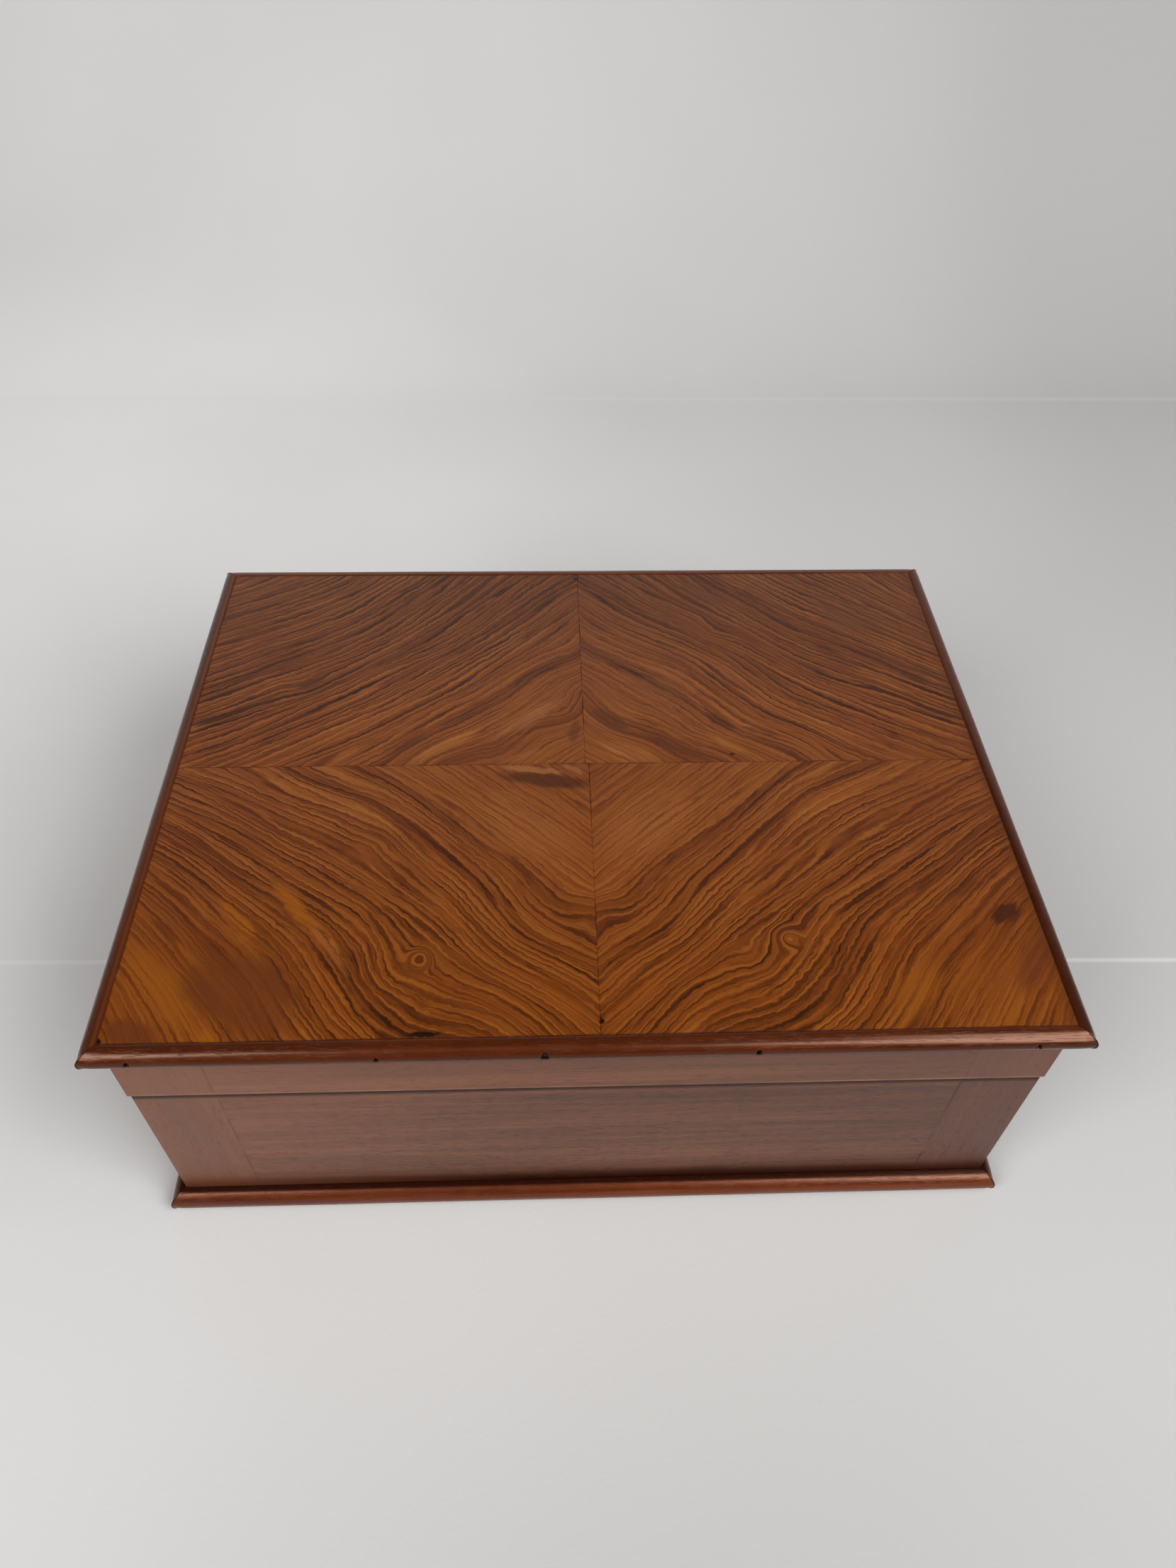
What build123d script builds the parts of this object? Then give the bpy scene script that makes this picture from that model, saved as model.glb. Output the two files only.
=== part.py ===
# A low wooden box with a hinged, quarter-matched lid and a fixed grid of compartments.
# Lengths are in millimetres. The origin is on the surface that the box stands on, at the
# middle of its outline: +X points right, +Y to the back where the hinges are, and +Z up.
from build123d import *
from math import ceil, cos, radians, sin, tan
import os

os.makedirs("parts", exist_ok=True)

# Lid
lid_length = 400.0
lid_depth = 311.0
lid_moulding_width = 7.3
lid_moulding_thickness = 9.6
veneer_thickness = 1.2
panel_rebate_depth = 3.0
rim_height = 33.6
rim_proud = 0.9
lip_clearance = 0.4
split_gap = 0.3
arris = 0.5

# The four leaves of veneer don't meet quite in line, because they were laid by hand
front_seam_x = 2.6
back_seam_x = 0.8
cross_seam_y = -1.4

# Case
wall_thickness = 10.0
body_height = 93.0
base_thickness = 8.0
plinth_width = 7.2
plinth_thickness = 13.2
left_stile_width = 35.0
right_stile_width = 33.5
tongue_thickness = 3.2
tongue_length = 5.0
tongue_clearance = 0.1

# Compartments
columns = 4
rows = 3
liner_thickness = 4.0
lip_height = 6.0
lip_easing = 0.8
divider_thickness = 4.0
divider_drop = 12.0
divider_easing = 0.8
housing_depth = 1.5
housing_clearance = 0.1

# Stopped hinges
hinge_length = 40.0
hinge_inset = 70.0
leaf_thickness = 2.0
leaf_reach = 12.0
barrel_radius = 2.2
barrel_standoff = 0.6
pin_radius = 1.0
pin_clearance = 0.05
knuckles = 3
knuckle_gap = 0.3
relief_clearance = 0.25
lug_reach = 5.6
lug_drop = 6.2
open_angle = 100.0
stop_play = 0.5
mortise_clearance = 0.1

# Hinge screws, and the square brads that hold the mouldings and the base
screws_per_leaf = 2
hinge_screw_setback = 8.0
hinge_screw_spacing = 24.0
hinge_screw_length = 13.0
hinge_screw_radius = 1.1
hinge_screw_head_radius = 2.2
screw_head_angle = 82.0
screw_clearance = 0.05
brad_size = 1.4
brad_length = 15.0
brad_clearance = 0.05
brad_rise = 0.5
brad_recess = 0.4
base_brad_size = 1.8
base_brad_length = 24.0
base_brads_per_side = 3
base_brad_spacing = 110.0
side_base_brad_spacing = 90.0
pit_depth = 1.3
pit_radius = 1.2
wide_pit_radius = 1.7
wide_pit_brad = -19.5
inner_front_brads = (-85.0, wide_pit_brad, 64.5)
left_brad_inset = 18.0
right_brad_inset = 17.5
back_brad_inset = 23.0
side_brad_inset = 35.5
widest_brad_spacing = 120.0

# Sizes and levels that follow
rim_length = lid_length - 2 * lid_moulding_width
rim_depth = lid_depth - 2 * lid_moulding_width
case_length = rim_length - 2 * rim_proud
case_depth = rim_depth - 2 * rim_proud
rim_wall = wall_thickness + rim_proud - lip_clearance
split_level = plinth_thickness + body_height
rim_level = split_level + split_gap
panel_level = rim_level + rim_height
panel_thickness = lid_moulding_thickness - veneer_thickness
veneer_level = panel_level + panel_thickness
left_joint_x = -case_length / 2 + left_stile_width
right_joint_x = case_length / 2 - right_stile_width

liner_length = case_length - 2 * wall_thickness
liner_depth = case_depth - 2 * wall_thickness
liner_height = split_level + lip_height - base_thickness
inner_length = liner_length - 2 * liner_thickness
inner_depth = liner_depth - 2 * liner_thickness
column_pitch = (inner_length + divider_thickness) / columns
row_pitch = (inner_depth + divider_thickness) / rows
column_places = [(i - columns / 2) * column_pitch for i in range(1, columns)]
row_places = [(i - rows / 2) * row_pitch for i in range(1, rows)]
divider_height = split_level - divider_drop - base_thickness
housing_width = divider_thickness + 2 * housing_clearance

hinge_axis_y = rim_depth / 2 + barrel_standoff + barrel_radius
hinge_axis_z = split_level + split_gap / 2
hinge_places = (-case_length / 2 + hinge_inset, case_length / 2 - hinge_inset)
bevel_angle = (open_angle + stop_play) / 2
screw_row_y = hinge_axis_y - hinge_screw_setback
brad_level = panel_level + lid_moulding_thickness / 2 + brad_rise
front_brads = (
    -lid_length / 2 + left_brad_inset,
    *inner_front_brads,
    lid_length / 2 - right_brad_inset,
)

# Each side of a frame is drawn as if it were the front, on a plane turned to face that way
turn = {"front": 0, "right": 90, "back": 180, "left": 270}


def side_plane(side, level):
    """The horizontal plane at a level, with its own -Y facing out of the named side."""
    return Plane.XY.offset(level).rotated((0, 0, turn[side]))


def run_and_reach(side, frame_length, frame_depth):
    """How long a side of a rectangular frame is, and how far its face is from the middle."""
    if side in ("front", "back"):
        return frame_length, frame_depth / 2
    return frame_depth, frame_length / 2


def mitred_points(run, reach, width):
    """The plan of one side of a mitred frame."""
    return [
        (-run / 2, -reach),
        (run / 2, -reach),
        (run / 2 - width, -reach + width),
        (-run / 2 + width, -reach + width),
    ]


def outer_arris(piece, side, end):
    """The long outer edge at the bottom (end 0) or the top (end -1) of a board."""
    along = Axis.X if side in ("front", "back") else Axis.Y
    across = Axis.Y if side in ("front", "back") else Axis.X
    outermost = 0 if side in ("front", "left") else -1
    return piece.edges().filter_by(along).group_by(Axis.Z)[end].sort_by(across)[outermost]


def side_board(name, side, frame, wall, level, height, arris_end, brad_places):
    """A mitred end wall of the case or of the lid's rim, with holes for the base's brads."""
    run, reach = run_and_reach(side, *frame)
    with BuildPart() as board:
        with BuildSketch(side_plane(side, level)):
            with BuildLine():
                Polyline(*mitred_points(run, reach, wall), close=True)
            make_face()
        extrude(amount=height)
        chamfer(outer_arris(board, side, arris_end), arris)
        pierce_from_below(brad_places, level)
    board.part.label = name
    export_step(board.part, f"parts/{name}.step")


def pierce_from_below(places, level):
    """Holes for the base's brads, which go up into the part being built from a level."""
    depth = base_brad_length + brad_recess - level
    for x, y in places:
        with BuildSketch(Plane.XY.offset(level)) as hole:
            with Locations((x, y)):
                Rectangle(base_brad_size + 2 * brad_clearance, base_brad_size + 2 * brad_clearance)
        extrude(hole.sketch, amount=depth, mode=Mode.SUBTRACT)


def stile(name, side, frame, wall, level, height, arris_end, end):
    """The upright at one end of a front or back wall: mitred outside, grooved inside."""
    facing = -1 if side == "front" else 1
    corner_x = end * frame[0] / 2
    outer_y = facing * frame[1] / 2
    inner_y = outer_y - facing * wall
    joint_x = left_joint_x if end < 0 else right_joint_x
    with BuildPart() as upright:
        with BuildSketch(Plane.XY.offset(level)):
            with BuildLine():
                Polyline(
                    (corner_x, outer_y),
                    (joint_x, outer_y),
                    (joint_x, inner_y),
                    (corner_x - end * wall, inner_y),
                    close=True,
                )
            make_face()
            with Locations((joint_x, (outer_y + inner_y) / 2)):
                Rectangle(
                    2 * (tongue_length + tongue_clearance),
                    tongue_thickness + 2 * tongue_clearance,
                    mode=Mode.SUBTRACT,
                )
        extrude(amount=height)
        chamfer(outer_arris(upright, side, arris_end), arris)
    upright.part.label = name
    export_step(upright.part, f"parts/{name}.step")


def framed_board(name, side, frame, wall, level, height, arris_end, mortise_level, brad_places):
    """The board between two stiles, tongued at both ends. The back ones take the hinges."""
    facing = -1 if side == "front" else 1
    middle_x = (left_joint_x + right_joint_x) / 2
    middle_y = facing * (frame[1] - wall) / 2
    board_length = right_joint_x - left_joint_x
    with BuildPart() as board:
        with BuildSketch(Plane.XY.offset(level)):
            with Locations((middle_x, middle_y)):
                Rectangle(board_length, wall)
                Rectangle(board_length + 2 * tongue_length, tongue_thickness)
        extrude(amount=height)
        chamfer(outer_arris(board, side, arris_end), arris)
        pierce_from_below(brad_places, level)
        if mortise_level is not None:
            cut_hinge_mortises(mortise_level, frame[1] / 2)
    board.part.label = name
    export_step(board.part, f"parts/{name}.step")


def cut_hinge_mortises(mortise_level, back_y):
    """Beds for the hinge leaves in the edge of a back board, with pilot holes for screws."""
    front_y = hinge_axis_y - leaf_reach - mortise_clearance
    # The bed runs on past the back face, so that it is open there
    bed_depth = back_y + arris - front_y
    above = mortise_level < hinge_axis_z
    bed_floor = mortise_level - leaf_thickness if above else mortise_level + leaf_thickness
    pilot_depth = hinge_screw_length - leaf_thickness
    with BuildSketch(Plane.XY.offset(mortise_level)) as beds:
        with Locations(*[(x, front_y + bed_depth / 2) for x in hinge_places]):
            Rectangle(hinge_length + 2 * mortise_clearance, bed_depth)
    extrude(beds.sketch, amount=bed_floor - mortise_level, mode=Mode.SUBTRACT)
    with BuildSketch(Plane.XY.offset(bed_floor)) as pilots:
        with Locations(*hinge_screw_places()):
            Circle(hinge_screw_radius + screw_clearance)
    extrude(pilots.sketch, amount=-pilot_depth if above else pilot_depth, mode=Mode.SUBTRACT)


def hinge_screw_places():
    """Two screws through each leaf."""
    return [
        (hinge_x + step, screw_row_y)
        for hinge_x in hinge_places
        for step in evenly(hinge_screw_spacing, screws_per_leaf)
    ]


def half_round_moulding(name, side, frame, width, thickness, level, brads):
    """A mitred strip with a half-round nose, and brad holes where it is nailed on."""
    run, reach = run_and_reach(side, *frame)
    nose = min(width, thickness / 2)
    plan = side_plane(side, level)
    section = Plane(origin=plan.origin, x_dir=-plan.y_dir, z_dir=-plan.x_dir)
    with BuildPart() as strip:
        with BuildSketch(section):
            with BuildLine():
                Polyline(
                    (reach - nose, 0),
                    (reach - width, 0),
                    (reach - width, thickness),
                    (reach - nose, thickness),
                )
                ThreePointArc(
                    (reach - nose, thickness),
                    (reach, thickness / 2),
                    (reach - nose, 0),
                )
            make_face()
        extrude(amount=run / 2, both=True)
        with BuildSketch(plan):
            with BuildLine():
                Polyline(*mitred_points(run, reach, width), close=True)
            make_face()
        extrude(amount=thickness, mode=Mode.INTERSECT)
        for place in brads:
            face = brad_plane(side, reach, place)
            with BuildSketch(face):
                Rectangle(brad_size + 2 * brad_clearance, brad_size + 2 * brad_clearance)
            extrude(amount=-width, mode=Mode.SUBTRACT)
            if side == "front":
                with BuildSketch(face):
                    Circle(wide_pit_radius if place == wide_pit_brad else pit_radius)
                extrude(amount=-pit_depth, mode=Mode.SUBTRACT)
    strip.part.label = name
    export_step(strip.part, f"parts/{name}.step")


def brad_plane(side, reach, place):
    """A plane on the nose of the lid's moulding, square to a brad that is driven there."""
    plan = side_plane(side, brad_level)
    outward = -plan.y_dir
    origin = plan.origin + outward * reach + plan.x_dir * place
    return Plane(origin=origin, x_dir=plan.x_dir, z_dir=outward)


def evenly(spacing, count):
    """Places along a side, a spacing apart and centred on it."""
    return [(i - (count - 1) / 2) * spacing for i in range(count)]


def spread(run, inset, widest_spacing):
    """Places along a side, evenly spread between an inset at each end of it."""
    spaces = ceil((run - 2 * inset) / widest_spacing)
    return evenly((run - 2 * inset) / spaces, spaces + 1)


def liner(name, side, places):
    """A lining board that stands proud of the case as a lip, housed for the dividers."""
    run, reach = run_and_reach(side, liner_length, liner_depth)
    with BuildPart() as board:
        with BuildSketch(side_plane(side, base_thickness)):
            with BuildLine():
                Polyline(*mitred_points(run, reach, liner_thickness), close=True)
            make_face()
        extrude(amount=liner_height)
        chamfer(outer_arris(board, side, -1), lip_easing)
        with BuildSketch(side_plane(side, base_thickness)):
            with Locations(*[(place, -reach + liner_thickness) for place in places]):
                Rectangle(housing_width, 2 * housing_depth)
        extrude(amount=divider_height + housing_clearance, mode=Mode.SUBTRACT)
    board.part.label = name
    export_step(board.part, f"parts/{name}.step")


def divider(name, along_x, place, crossings):
    """One partition of the grid. Cross dividers are notched above, long ones below."""
    clear_length = inner_length if along_x else inner_depth
    length = clear_length + 2 * (housing_depth - housing_clearance)
    plan = Plane.XY.offset(base_thickness) if along_x else side_plane("right", base_thickness)
    # On the turned plane, the divider's own Y is the box's -X
    own_y = place if along_x else -place
    notch_level = 0 if along_x else divider_height / 2
    with BuildPart() as board:
        with BuildSketch(plan):
            with Locations((0, own_y)):
                Rectangle(length, divider_thickness)
        extrude(amount=divider_height)
        top_edges = board.edges().filter_by(Axis.X if along_x else Axis.Y).group_by(Axis.Z)[-1]
        chamfer(top_edges, divider_easing)
        with BuildSketch(plan.offset(notch_level)):
            with Locations(*[(crossing, own_y) for crossing in crossings]):
                Rectangle(housing_width, 2 * divider_thickness)
        extrude(amount=divider_height / 2, mode=Mode.SUBTRACT)
    board.part.label = name
    export_step(board.part, f"parts/{name}.step")


def hinge_leaf(name, hinge_x, upper):
    """A solid leaf with its knuckles, and a bevelled lug behind them that stops the lid."""
    way = 1 if upper else -1
    wood_y = rim_depth / 2 if upper else case_depth / 2
    face_z = way * split_gap / 2
    bed_z = face_z + way * leaf_thickness
    wood = wood_y - hinge_axis_y
    bevel_y = lug_reach * cos(radians(bevel_angle))
    bevel_z = lug_reach * sin(radians(bevel_angle))
    knuckle_length = hinge_length / knuckles
    knuckle_places = evenly(knuckle_length, knuckles)
    own_knuckles = knuckle_places[1::2] if upper else knuckle_places[0::2]
    other_knuckles = knuckle_places[0::2] if upper else knuckle_places[1::2]
    across = Plane(origin=(hinge_x, hinge_axis_y, hinge_axis_z), x_dir=(0, 1, 0), z_dir=(1, 0, 0))
    with BuildPart() as leaf:
        with BuildSketch(across):
            with BuildLine():
                Polyline(
                    (-leaf_reach, face_z),
                    (abs(face_z) / tan(radians(bevel_angle)), face_z),
                    (bevel_y, way * bevel_z),
                    (bevel_y - (lug_drop - bevel_z), way * lug_drop),
                    (wood, way * lug_drop),
                    (wood, bed_z),
                    (-leaf_reach, bed_z),
                    close=True,
                )
            make_face()
        extrude(amount=hinge_length / 2, both=True)
        for place in other_knuckles:
            with BuildSketch(across.offset(place)):
                Circle(barrel_radius + relief_clearance)
            extrude(amount=(knuckle_length + knuckle_gap) / 2, both=True, mode=Mode.SUBTRACT)
        for place in own_knuckles:
            with BuildSketch(across.offset(place)):
                Circle(barrel_radius)
            extrude(amount=(knuckle_length - knuckle_gap) / 2, both=True)
        with BuildSketch(across):
            Circle(pin_radius + pin_clearance)
        extrude(amount=hinge_length / 2, both=True, mode=Mode.SUBTRACT)
        countersinks = Plane(
            origin=(hinge_x, screw_row_y, hinge_axis_z + face_z),
            x_dir=(1, 0, 0),
            z_dir=(0, 0, -way),
        )
        with Locations(countersinks):
            with Locations(*[(step, 0) for step in evenly(hinge_screw_spacing, screws_per_leaf)]):
                CounterSinkHole(
                    radius=hinge_screw_radius + screw_clearance,
                    counter_sink_radius=hinge_screw_head_radius + screw_clearance,
                    depth=leaf_thickness,
                    counter_sink_angle=screw_head_angle,
                )
    leaf.part.label = name
    export_step(leaf.part, f"parts/{name}.step")


# Base board and the boards that stand on it
wall_x = (case_length - wall_thickness) / 2
wall_y = (case_depth - wall_thickness) / 2
base_brads_at = {
    "front": [(x, -wall_y) for x in evenly(base_brad_spacing, base_brads_per_side)],
    "back": [(x, wall_y) for x in evenly(base_brad_spacing, base_brads_per_side)],
    "left": [(-wall_x, y) for y in evenly(side_base_brad_spacing, base_brads_per_side)],
    "right": [(wall_x, y) for y in evenly(side_base_brad_spacing, base_brads_per_side)],
}

with BuildPart() as base_board:
    with BuildSketch(Plane.XY):
        Rectangle(case_length, case_depth)
    extrude(amount=base_thickness)
    with BuildSketch(Plane.XY):
        for brad_points in base_brads_at.values():
            with Locations(*brad_points):
                Rectangle(base_brad_size + 2 * brad_clearance, base_brad_size + 2 * brad_clearance)
    extrude(amount=base_thickness, mode=Mode.SUBTRACT)
base_board.part.label = "base_board"
export_step(base_board.part, "parts/base_board.step")

case_frame = (case_length, case_depth)
case_walls = {"wall": wall_thickness, "level": base_thickness, "height": split_level - base_thickness}
case_top = -1
framed_board(
    "front_board", "front", case_frame, **case_walls,
    arris_end=case_top, mortise_level=None, brad_places=base_brads_at["front"],
)
framed_board(
    "back_board", "back", case_frame, **case_walls,
    arris_end=case_top, mortise_level=split_level, brad_places=base_brads_at["back"],
)
side_board(
    "left_side_board", "left", case_frame, **case_walls,
    arris_end=case_top, brad_places=base_brads_at["left"],
)
side_board(
    "right_side_board", "right", case_frame, **case_walls,
    arris_end=case_top, brad_places=base_brads_at["right"],
)
for wall_side in ("front", "back"):
    for end_name, end_way in (("left", -1), ("right", 1)):
        stile(
            f"{wall_side}_{end_name}_stile", wall_side, case_frame, **case_walls,
            arris_end=case_top, end=end_way,
        )

# Plinth moulding round the foot of the case
plinth_frame = (case_length + 2 * plinth_width, case_depth + 2 * plinth_width)
for frame_side in turn:
    half_round_moulding(
        f"plinth_{frame_side}", frame_side, plinth_frame, plinth_width, plinth_thickness, 0, [],
    )

# Lining boards and the grid of dividers
for frame_side in turn:
    facing_way = 1 if frame_side in ("front", "right") else -1
    housings = column_places if frame_side in ("front", "back") else row_places
    liner(f"liner_{frame_side}", frame_side, [facing_way * place for place in housings])
for number, column_x in enumerate(column_places, start=1):
    divider(f"cross_divider_{number}", False, column_x, row_places)
for number, row_y in enumerate(row_places, start=1):
    divider(f"long_divider_{number}", True, row_y, column_places)

# Lid: the rim that meets the case, the panel on it, its veneer and its edge moulding
rim_frame = (rim_length, rim_depth)
rim_walls = {"wall": rim_wall, "level": rim_level, "height": rim_height}
rim_bottom = 0
framed_board(
    "rim_front_board", "front", rim_frame, **rim_walls,
    arris_end=rim_bottom, mortise_level=None, brad_places=[],
)
framed_board(
    "rim_back_board", "back", rim_frame, **rim_walls,
    arris_end=rim_bottom, mortise_level=rim_level, brad_places=[],
)
for end_name in ("left", "right"):
    side_board(
        f"rim_{end_name}_board", end_name, rim_frame, **rim_walls,
        arris_end=rim_bottom, brad_places=[],
    )
for wall_side in ("front", "back"):
    for end_name, end_way in (("left", -1), ("right", 1)):
        stile(
            f"rim_{wall_side}_{end_name}_stile", wall_side, rim_frame, **rim_walls,
            arris_end=rim_bottom, end=end_way,
        )

back_brads = spread(lid_length, back_brad_inset, widest_brad_spacing)
side_brads = spread(lid_depth, side_brad_inset, widest_brad_spacing)
lid_brads = {"front": front_brads, "right": side_brads, "back": back_brads, "left": side_brads}
# The front brads are punched deep and leave dark pits, and the others lie just under the wood
head_depths = {"front": pit_depth, "right": brad_recess, "back": brad_recess, "left": brad_recess}

with BuildPart() as lid_panel:
    with BuildSketch(Plane.XY.offset(panel_level)):
        Rectangle(rim_length, rim_depth)
    extrude(amount=panel_thickness)
    with BuildSketch(Plane.XY.offset(panel_level)):
        Rectangle(
            rim_length - 2 * (rim_wall + tongue_clearance),
            rim_depth - 2 * (rim_wall + tongue_clearance),
        )
    extrude(amount=-panel_rebate_depth)
    for frame_side, brad_places in lid_brads.items():
        panel_run, panel_reach = run_and_reach(frame_side, rim_length, rim_depth)
        for brad_place in brad_places:
            with BuildSketch(brad_plane(frame_side, panel_reach, brad_place)):
                Rectangle(brad_size + 2 * brad_clearance, brad_size + 2 * brad_clearance)
            hole_depth = brad_length + head_depths[frame_side] - lid_moulding_width
            extrude(amount=-hole_depth, mode=Mode.SUBTRACT)
lid_panel.part.label = "lid_panel"
export_step(lid_panel.part, "parts/lid_panel.step")

for end_name, end_way in (("left", -1), ("right", 1)):
    for row_name, row_way, seam_x in (("front", -1, front_seam_x), ("back", 1, back_seam_x)):
        leaf_length = rim_length / 2 - end_way * seam_x
        leaf_depth = rim_depth / 2 - row_way * cross_seam_y
        with BuildPart() as veneer:
            with BuildSketch(Plane.XY.offset(veneer_level)):
                leaf_x = seam_x + end_way * leaf_length / 2
                leaf_y = cross_seam_y + row_way * leaf_depth / 2
                with Locations((leaf_x, leaf_y)):
                    Rectangle(leaf_length, leaf_depth)
            extrude(amount=veneer_thickness)
        veneer.part.label = f"veneer_{row_name}_{end_name}"
        export_step(veneer.part, f"parts/veneer_{row_name}_{end_name}.step")

for frame_side, brad_places in lid_brads.items():
    half_round_moulding(
        f"lid_moulding_{frame_side}", frame_side, (lid_length, lid_depth),
        lid_moulding_width, lid_moulding_thickness, panel_level, brad_places,
    )

with BuildPart() as lid_moulding_brads:
    for frame_side, brad_places in lid_brads.items():
        lid_run, lid_reach = run_and_reach(frame_side, lid_length, lid_depth)
        for brad_place in brad_places:
            with BuildSketch(brad_plane(frame_side, lid_reach - head_depths[frame_side], brad_place)):
                Rectangle(brad_size, brad_size)
            extrude(amount=-brad_length)
lid_moulding_brads.part.label = "lid_moulding_brads"
export_step(lid_moulding_brads.part, "parts/lid_moulding_brads.step")

# Hinges with their pins and screws
for end_name, hinge_x in zip(("left", "right"), hinge_places):
    hinge_leaf(f"hinge_{end_name}_case_leaf", hinge_x, False)
    hinge_leaf(f"hinge_{end_name}_lid_leaf", hinge_x, True)
    pin_plane = Plane(origin=(hinge_x, hinge_axis_y, hinge_axis_z), z_dir=(1, 0, 0))
    with BuildPart() as hinge_pin:
        with BuildSketch(pin_plane):
            Circle(pin_radius)
        extrude(amount=hinge_length / 2, both=True)
    hinge_pin.part.label = f"hinge_{end_name}_pin"
    export_step(hinge_pin.part, f"parts/hinge_{end_name}_pin.step")

head_depth = (hinge_screw_head_radius - hinge_screw_radius) / tan(radians(screw_head_angle / 2))
with BuildPart() as hinge_screw:
    with BuildSketch(Plane.XZ):
        with BuildLine():
            Polyline(
                (0, 0),
                (hinge_screw_head_radius, 0),
                (hinge_screw_radius, -head_depth),
                (hinge_screw_radius, -hinge_screw_length),
                (0, -hinge_screw_length),
                close=True,
            )
        make_face()
    revolve(axis=Axis.Z)

with BuildPart() as case_hinge_screws:
    with Locations(*[(x, y, split_level) for x, y in hinge_screw_places()]):
        add(hinge_screw.part)
case_hinge_screws.part.label = "case_hinge_screws"
export_step(case_hinge_screws.part, "parts/case_hinge_screws.step")

with BuildPart() as lid_hinge_screws:
    with Locations(*[Location((x, y, rim_level), (180, 0, 0)) for x, y in hinge_screw_places()]):
        add(hinge_screw.part)
lid_hinge_screws.part.label = "lid_hinge_screws"
export_step(lid_hinge_screws.part, "parts/lid_hinge_screws.step")

# Brads that go up through the base into the walls
with BuildPart() as base_brads:
    with BuildSketch(Plane.XY.offset(brad_recess)):
        for brad_points in base_brads_at.values():
            with Locations(*brad_points):
                Rectangle(base_brad_size, base_brad_size)
    extrude(amount=base_brad_length)
base_brads.part.label = "base_brads"
export_step(base_brads.part, "parts/base_brads.step")
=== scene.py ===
# The looks of a low wooden box: a quarter-matched veneered lid with half-round edge mouldings,
# a jointed case on a half-round plinth, and a grid of compartments inside.
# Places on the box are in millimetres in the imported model's frame, unless a name says otherwise.
import math

import bmesh
import bpy
from mathutils import Matrix, Vector


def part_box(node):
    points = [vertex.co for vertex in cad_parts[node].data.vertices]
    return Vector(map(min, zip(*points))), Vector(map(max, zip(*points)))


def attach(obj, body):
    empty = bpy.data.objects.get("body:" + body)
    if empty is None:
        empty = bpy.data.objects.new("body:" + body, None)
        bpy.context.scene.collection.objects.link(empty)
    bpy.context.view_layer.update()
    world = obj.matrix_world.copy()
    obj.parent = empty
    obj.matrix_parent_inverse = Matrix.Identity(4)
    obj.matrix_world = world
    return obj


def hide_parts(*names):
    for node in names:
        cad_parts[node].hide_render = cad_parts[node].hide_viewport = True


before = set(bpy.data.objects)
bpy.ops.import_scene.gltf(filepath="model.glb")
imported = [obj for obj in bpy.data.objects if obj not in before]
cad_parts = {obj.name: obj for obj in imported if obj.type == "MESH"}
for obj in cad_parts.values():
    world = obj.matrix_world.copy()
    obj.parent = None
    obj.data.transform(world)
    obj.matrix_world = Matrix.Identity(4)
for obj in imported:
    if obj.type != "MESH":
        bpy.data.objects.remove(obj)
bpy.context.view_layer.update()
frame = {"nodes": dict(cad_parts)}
nodes = frame["nodes"]

MM = 0.001

# The photograph's height in pixels, and the camera that took it, with its angles in radians
photo_height = 2212
focal_pixels = 1556.5
film_height = 36.0
camera_place = Vector((-16.5, -368.0, 534.0)) * MM
camera_yaw = -0.05161
camera_pitch = 0.82695
camera_roll = 0.026336
nearest_seen = 0.01

# The seams between the four leaves of veneer, and the outline that the leaves fill
front_seam_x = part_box("veneer_front_left")[1].x / MM
back_seam_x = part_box("veneer_back_left")[1].x / MM
cross_seam_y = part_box("veneer_front_left")[1].y / MM
leaf_edge_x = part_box("veneer_front_right")[1].x / MM
leaf_edge_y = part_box("veneer_back_right")[1].y / MM


def rgb(code):
    """A colour written as on screen, turned into the linear numbers that a shader takes."""
    channels = [int(code[i:i + 2], 16) / 255 for i in (0, 2, 4)]
    linear = [c / 12.92 if c <= 0.04045 else ((c + 0.055) / 1.055) ** 2.4 for c in channels]
    return (*linear, 1.0)


class Field:
    """A number that varies over a surface. Formulas with it become nodes."""

    def __init__(self, finish, socket):
        self.finish = finish
        self.socket = socket

    def __add__(self, other):
        return self.finish.math("ADD", self, other)

    def __sub__(self, other):
        return self.finish.math("SUBTRACT", self, other)

    def __rsub__(self, other):
        return self.finish.math("SUBTRACT", other, self)

    def __mul__(self, other):
        return self.finish.math("MULTIPLY", self, other)

    def __truediv__(self, other):
        return self.finish.math("DIVIDE", self, other)

    __radd__ = __add__
    __rmul__ = __mul__

    def within(self, low, high):
        """0 at low and 1 at high, smooth between them and level outside."""
        return self.finish.smooth(self, low, high)


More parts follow.
